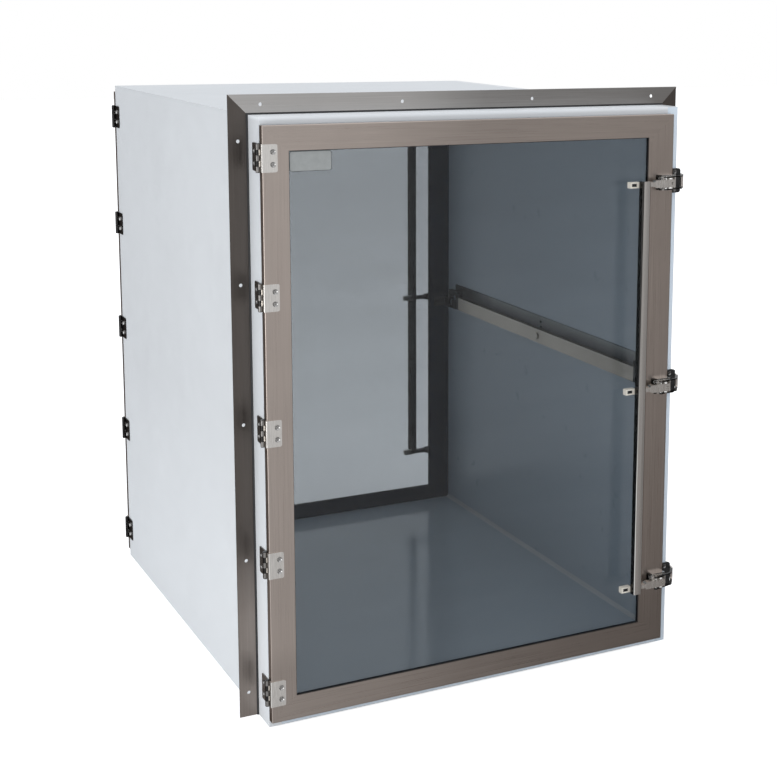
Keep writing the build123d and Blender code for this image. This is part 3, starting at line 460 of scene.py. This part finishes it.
# The claws' arms are painted black for their dark reflections, the outer plate left bright: painted
# reflection
claw_steel_painted_dark_arms = parted("claw_steel_painted_dark_arms", BLACK_STEEL, (0.84, 0.79, 0.75), 0.28, "x", CLAW_PLATE_EDGE)
lever_steel = parted("lever_steel", CREAM, (0.74, 0.71, 0.67), 0.24, "x", tail_end, 0.0, mark=tail_pocket_painted_shade)
# The rear levers' steel is a black copy of the front levers' for the shade they are seen in: painted shade
rear_lever_steel_painted_dark = parted("rear_lever_steel_painted_dark", CREAM, (0.05, 0.05, 0.05), 0.24, "x", tail_end, 0.0)
fasteners = turned_steel("fastener_steel", (0.78, 0.77, 0.75), 0.10)
# The door screws' steel is a darker copy, standing for the shade in their countersinks: painted shade
door_fasteners_painted_shade = turned_steel("door_fastener_steel", (0.42, 0.41, 0.40), 0.10)
grey_fasteners = turned_steel("grey_fastener_steel", (0.24, 0.235, 0.23), 0.25)
pin_steel = turned_steel("pin_steel", (0.07, 0.07, 0.07), 0.25)
dark_fasteners = turned_steel("dark_fastener_steel", (0.03, 0.03, 0.03), 0.35)
rubber = dark_solid("black_rubber", (0.012, 0.012, 0.013), 0.6, 700.0, 0.4)
plastic = dark_solid("black_plastic", (0.016, 0.016, 0.017), 0.42, 1100.0, 0.3)
backing_plastic_painted_shadow = strip_plastic_painted_shadow()
coated = dark_solid("black_coated_metal", (0.010, 0.010, 0.010), 0.42, 1600.0, 0.25, worn=0.25)
glass = tinted_glass("tinted_glass", foot=1.09, head=0.95, head_height=0.85)
rear_glass = tinted_glass("rear_tinted_glass", foot=1.09, head=0.865, head_height=0.65)
label = film()
label_border = dark_solid("label_border", (0.11, 0.12, 0.12), 0.4, 900.0, 0.2)


def paint(name, material):
    """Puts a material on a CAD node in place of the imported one."""
    for entry in frame["nodes"][name].material_slots:
        entry.material = material


OWN_FINISHES = {
    "panel_left": walls,
    "panel_top": walls,
    "corner_coves": walls,
    "panel_right": inner_wall,
    "panel_bottom": chamber_floor,
    "flange_left": flange_steel_side_painted_dark,
    "flange_right": flange_steel_side_painted_dark,
    "flange_top": flange_steel_top,
    "flange_seal": rubber,
    "flange_screws": fasteners,
    "interlock_backing": backing_plastic_painted_shadow,
    "interlock_backing_screws": dark_fasteners,
    "interlock_pivot_bolt": rocker_steel,
    "interlock_bar": rocker_steel,
    "interlock_bushing": plastic,
    "interlock_ends": plastic,
    "front_hinge_cabinet_leaves": front_leaf,
    "rear_hinge_cabinet_leaves": dark_leaf,
    "front_door_glass": glass,
    "rear_door_glass": rear_glass,
    "front_handle_bar": handle_steel,
    "rear_handle_bar": rear_handle_steel_painted_dark_face,
    "front_latch_levers": lever_steel,
    "rear_latch_levers": rear_lever_steel_painted_dark,
}
for node, material in OWN_FINISHES.items():
    paint(node, material)
END_FINISHES = {
    "hinge_door_leaves": door_leaf_painted_dark_barrel,
    "hinge_pins": pin_steel,
    "cabinet_screws": fasteners,
    "door_screws": fasteners,
    "keepers": coated,
    "door_frame": door_steel,
    "glazing_gasket": rubber,
    "glass_retainer": retainer_steel,
    "door_seal": rubber,
    "interlock_striker": coated,
    "latch_bases": base_steel,
    "latch_pins": fasteners,
    "claw_pins": fasteners,
    "claw_lower": claw_steel_painted_dark_arms,
    "claw_middle": claw_steel_painted_dark_arms,
    "claw_upper": claw_steel_painted_dark_arms,
}
for end in ENDS:
    for node, material in END_FINISHES.items():
        paint(f"{end}_{node}", material)


# Pieces --------------------------------------------------------------------------------------------------


def piece(name, mesh, material, body):
    """A mesh in the scene with its material and the body it rides on."""
    obj = bpy.data.objects.new(name, mesh)
    bpy.context.scene.collection.objects.link(obj)
    mesh.materials.clear()
    mesh.materials.append(material)
    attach(obj, body)
    return obj


def islands(node):
    """Each separate solid of a node: its lowest corner, its highest corner and its points."""
    mesh = bmesh.new()
    mesh.from_mesh(frame["nodes"][node].data)
    bmesh.ops.remove_doubles(mesh, verts=mesh.verts, dist=0.02 * MM)
    seen = set()
    boxes = []
    for start in mesh.verts:
        if start in seen:
            continue
        stack = [start]
        seen.add(start)
        found = []
        while stack:
            vertex = stack.pop()
            found.append(vertex.co.copy())
            for edge in vertex.link_edges:
                other = edge.other_vert(vertex)
                if other not in seen:
                    seen.add(other)
                    stack.append(other)
        low = Vector([min(p[i] for p in found) for i in range(3)])
        high = Vector([max(p[i] for p in found) for i in range(3)])
        boxes.append((low, high, found))
    mesh.free()
    return boxes


HEAD_ZONE = 2.2 * MM  # a screw's head lies within this of its end
SCREW_TURN = 37  # degrees that each screw's cross is turned beyond the last one's


def screw_place(low, high, found):
    """The frame of a screw whose head is at its wide end: origin at the top of the head, Z outward."""
    size = high - low
    axis = max(range(3), key=lambda i: size[i])
    middle = (low + high) / 2
    u, v = (i for i in range(3) if i != axis)

    def reach(end):
        """How far the screw spreads from its axis at one end."""
        near = [p for p in found if abs(p[axis] - end) < HEAD_ZONE]
        return max(math.hypot(p[u] - middle[u], p[v] - middle[v]) for p in near)

    outward = Vector((0, 0, 0))
    outward[axis] = 1 if reach(high[axis]) > reach(low[axis]) else -1
    top = middle.copy()
    top[axis] = high[axis] if outward[axis] > 0 else low[axis]
    radius = size[u] / 2
    turn = outward.to_track_quat("Z", "Y").to_matrix().to_4x4()
    return Matrix.Translation(top) @ turn, radius, size[axis]


def cross_head(mesh, place, radius, length, twist):
    """A dished head with a cross recess, and its shank."""
    profile = (  # share of the radius, and depth under the top of the head in radii; None is the shank's end
        (0.0, 0.42), (0.16, 0.42), (0.30, 0.42), (0.44, 0.42), (0.50, 0.42), (0.54, 0.42),
        (0.58, 0.40), (0.92, 0.08), (0.97, 0.08), (1.0, 0.12), (1.0, 0.50), (0.45, 0.50), (0.45, None),
    )
    segments = 32
    arm_half, arm_long, recess = 0.13, 0.47, 0.30
    place = place @ Matrix.Rotation(twist, 4, "Z")
    rows = []
    for share, depth in profile:
        row = []
        for i in range(segments if share else 1):
            angle = 2 * math.pi * i / segments
            x, y = share * math.cos(angle), share * math.sin(angle)
            z = -length if depth is None else -depth * radius
            in_cross = min(abs(x), abs(y)) < arm_half and max(abs(x), abs(y)) < arm_long
            if in_cross and depth is not None and share < 0.6 and depth < 0.5:
                z -= recess * radius
            row.append(mesh.verts.new(place @ Vector((x * radius, y * radius, z))))
        rows.append(row)
    for inner, outer in zip(rows, rows[1:]):
        for i in range(segments):
            j = (i + 1) % segments
            if len(inner) == 1:
                mesh.faces.new((inner[0], outer[i], outer[j]))
            else:
                mesh.faces.new((inner[i], outer[i], outer[j], inner[j]))
    mesh.faces.new(list(reversed(rows[-1])))


def cross_screws(node, body, material, spread=1.0):
    """Screws with cross recesses in place of a node's plain ones, their heads wider by spread."""
    mesh = bmesh.new()
    for index, (low, high, found) in enumerate(islands(node)):
        place, radius, length = screw_place(low, high, found)
        cross_head(mesh, place, radius * spread, length, math.radians(SCREW_TURN * index % 90))
    data = bpy.data.meshes.new(f"{node}_cross")
    mesh.to_mesh(data)
    mesh.free()
    made = piece(f"{node}_cross", data, material, body)
    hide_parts(node)


for end, cabinet_finish in (("front", grey_fasteners), ("rear", fasteners)):
    cross_screws(f"{end}_cabinet_screws", "cabinet", cabinet_finish)
    cross_screws(f"{end}_door_screws", f"{end}_door", door_fasteners_painted_shade, spread=1.12)
cross_screws("flange_screws", "cabinet", fasteners)


def plate(name, low, high, corner, material, body):
    """A thin plate in an XZ plane with rounded corners, facing -Y."""
    outline = []
    steps = 6
    for cx, cz, start in (
        (high[0] - corner, high[2] - corner, 0),
        (low[0] + corner, high[2] - corner, 90),
        (low[0] + corner, low[2] + corner, 180),
        (high[0] - corner, low[2] + corner, 270),
    ):
        for i in range(steps + 1):
            angle = math.radians(start + 90 * i / steps)
            outline.append((cx + corner * math.cos(angle), cz + corner * math.sin(angle)))
    mesh = bmesh.new()
    back = [mesh.verts.new((x, high[1], z)) for x, z in outline]
    front = [mesh.verts.new((x, low[1], z)) for x, z in outline]
    count = len(outline)
    mesh.faces.new(back)
    mesh.faces.new(list(reversed(front)))
    for i in range(count):
        j = (i + 1) % count
        mesh.faces.new((back[j], back[i], front[i], front[j]))
    bmesh.ops.recalc_face_normals(mesh, faces=mesh.faces)
    data = bpy.data.meshes.new(name)
    mesh.to_mesh(data)
    mesh.free()
    return piece(name, data, material, body)


# A blank bordered label stuck to the front glass, in its upper left corner
glass_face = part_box("front_door_glass")[0][1]
LABEL_LEFT, LABEL_RIGHT = -0.3122, -0.2482
LABEL_BOTTOM, LABEL_TOP = 0.8360, 0.8655
LABEL_BORDER = 1.1 * MM
LABEL_SHEET = 0.15 * MM
LABEL_CORNER = 4.0 * MM
for name, inset, layer, material in (
    ("front_glass_label_border", 0.0, 1, label_border),
    ("front_glass_label", LABEL_BORDER, 2, label),
):
    low = (LABEL_LEFT + inset, glass_face - layer * LABEL_SHEET, LABEL_BOTTOM + inset)
    high = (LABEL_RIGHT - inset, glass_face - (layer - 1) * LABEL_SHEET, LABEL_TOP - inset)
    plate(name, low, high, LABEL_CORNER - inset, material, "front_door")


# Soft edges on the sheet that the cabinet is made of
for node in ("panel_left", "panel_right", "panel_top", "panel_bottom"):
    soft = frame["nodes"][node].modifiers.new("soft_edges", "BEVEL")
    soft.width = 0.7 * MM
    soft.segments = 2
    soft.limit_method = "ANGLE"
    soft.angle_limit = math.radians(50)
    soft.harden_normals = False


# Stage ---------------------------------------------------------------------------------------------------


FLOOR_GAP = 0.3 * MM
FLOOR_LIFT = 0.70  # what the camera sees is lightened by this much


def stage_floor():
    """A pale floor that shows white to the camera and keeps the object's shadow."""
    mesh = bpy.data.meshes.new("floor")
    far = 14.0
    corners = [(-far, -far, 0), (far, -far, 0), (far, far, 0), (-far, far, 0)]
    mesh.from_pydata(corners, [], [(0, 1, 2, 3)])
    obj = bpy.data.objects.new("floor", mesh)
    obj.location.z = cad_box[0][2] - FLOOR_GAP
    obj.visible_glossy = False
    bpy.context.scene.collection.objects.link(obj)
    s = Shader("floor", (0.80, 0.80, 0.80), 0.8)
    s.set_colour(s.blend(s.noise(2.0, 3.0), (0.79, 0.79, 0.79), (0.81, 0.81, 0.81)))
    path = s.node("ShaderNodeLightPath")
    seen = s.math("MAXIMUM", path.outputs["Is Camera Ray"], path.outputs["Is Transmission Ray"])
    lift = s.node("ShaderNodeEmission")
    s.feed(lift.inputs["Strength"], s.math("MULTIPLY", seen, FLOOR_LIFT))
    both = s.node("ShaderNodeAddShader")
    s.feed(both.inputs[0], s.main.outputs[0])
    s.feed(both.inputs[1], lift.outputs[0])
    s.feed(s.tree.nodes["Material Output"].inputs["Surface"], both.outputs[0])
    mesh.materials.append(s.material)


def world():
    """White behind the object; a soft studio round it, dimmer in front and low on the right."""
    made = bpy.data.worlds.new("studio")
    bpy.context.scene.world = made
    made.use_nodes = True
    tree = made.node_tree
    tree.nodes.clear()
    out = tree.nodes.new("ShaderNodeOutputWorld")
    path = tree.nodes.new("ShaderNodeLightPath")
    seen = tree.nodes.new("ShaderNodeMath")
    seen.operation = "MAXIMUM"
    tree.links.new(path.outputs["Is Camera Ray"], seen.inputs[0])
    tree.links.new(path.outputs["Is Transmission Ray"], seen.inputs[1])
    place = tree.nodes.new("ShaderNodeTexCoord")

    def slope(weights, start, low, high):
        """A plain slope over directions, held between two levels; start is its level where it is flat."""
        level = tree.nodes.new("ShaderNodeVectorMath")
        level.operation = "DOT_PRODUCT"
        level.inputs[1].default_value = weights
        tree.links.new(place.outputs["Generated"], level.inputs[0])
        shade = tree.nodes.new("ShaderNodeMapRange")
        for socket, value in zip(shade.inputs[1:5], (low - start, high - start, low, high)):
            socket.default_value = value
        tree.links.new(level.outputs["Value"], shade.inputs[0])
        return shade.outputs[0]

    def mix(share, a, b):
        """Colour a where share is 0 and colour b where it is 1."""
        blend = tree.nodes.new("ShaderNodeMix")
        blend.data_type = "RGBA"
        tree.links.new(share, blend.inputs["Factor"])
        for index, value in ((6, a), (7, b)):  # the colours A and B
            if hasattr(value, "is_output"):
                tree.links.new(value, blend.inputs[index])
            else:
                blend.inputs[index].default_value = (*value, 1)
        return blend.outputs[2]

    dark, light = (0.10, 0.080, 0.068), (0.93, 0.95, 0.98)
    front = mix(slope((-1.9, 0.0, 0.9), 1.47, 0.0, 1.0), dark, light)
    back = mix(slope((0.3, 0.0, 3.0), 0.15, 0.0, 1.0), dark, light)
    studio = tree.nodes.new("ShaderNodeBackground")
    tree.links.new(mix(slope((0.0, 2.0, 0.0), 0.5, 0.0, 1.0), front, back), studio.inputs["Color"])
    even = tree.nodes.new("ShaderNodeBackground")
    even.inputs["Color"].default_value = (0.83, 0.86, 0.90, 1)
    plain = tree.nodes.new("ShaderNodeBackground")
    plain.inputs["Color"].default_value = (1, 1, 1, 1)

    def either(share, a, b):
        """Background a where share is 0 and background b where it is 1."""
        made = tree.nodes.new("ShaderNodeMixShader")
        for socket, source in zip(made.inputs, (share, a, b)):
            tree.links.new(source, socket)
        return made.outputs[0]

    soft = either(path.outputs["Is Diffuse Ray"], studio.outputs[0], even.outputs[0])
    tree.links.new(either(seen.outputs[0], soft, plain.outputs[0]), out.inputs["Surface"])
    made.cycles.sampling_method = "NONE"


def lamp(name, place, target, size, power):
    """A soft rectangular lamp that looks at a target."""
    data = bpy.data.lights.new(name, "AREA")
    data.shape = "RECTANGLE"
    data.size, data.size_y = size
    data.energy = power
    obj = bpy.data.objects.new(name, data)
    obj.location = place
    aim = Vector(target) - Vector(place)
    obj.rotation_euler = aim.to_track_quat("-Z", "Y").to_euler()
    bpy.context.scene.collection.objects.link(obj)


def camera():
    """The photograph's camera, its axis off the middle of the picture."""
    data = bpy.data.cameras.new("camera")
    data.sensor_fit = "HORIZONTAL"
    data.sensor_width = SENSOR
    data.lens = FOCAL_PIXELS * SENSOR / IMAGE_WIDTH
    data.shift_x = (IMAGE_WIDTH / 2 - AXIS_PIXEL_X) / IMAGE_WIDTH
    data.shift_y = (AXIS_PIXEL_Y - IMAGE_HEIGHT / 2) / IMAGE_WIDTH
    data.clip_start = 0.05
    data.clip_end = 60.0
    obj = bpy.data.objects.new("camera", data)
    turn = Matrix((CAMERA_RIGHT, -Vector(CAMERA_DOWN), -Vector(CAMERA_FORWARD))).transposed()
    obj.matrix_world = Matrix.Translation(CAMERA_PLACE) @ turn.to_4x4()
    bpy.context.scene.collection.objects.link(obj)
    bpy.context.scene.camera = obj


stage_floor()
world()
lamp("key", place=(-2.0, -0.9, 0.30), target=(-0.35, 0, 0.10), size=(1.4, 0.8), power=9)
lamp("top", place=(0.2, -1.2, 3.4), target=(0, 0, 0.6), size=(2.5, 2.5), power=6)
camera()
bpy.context.scene.view_settings.view_transform = "Standard"
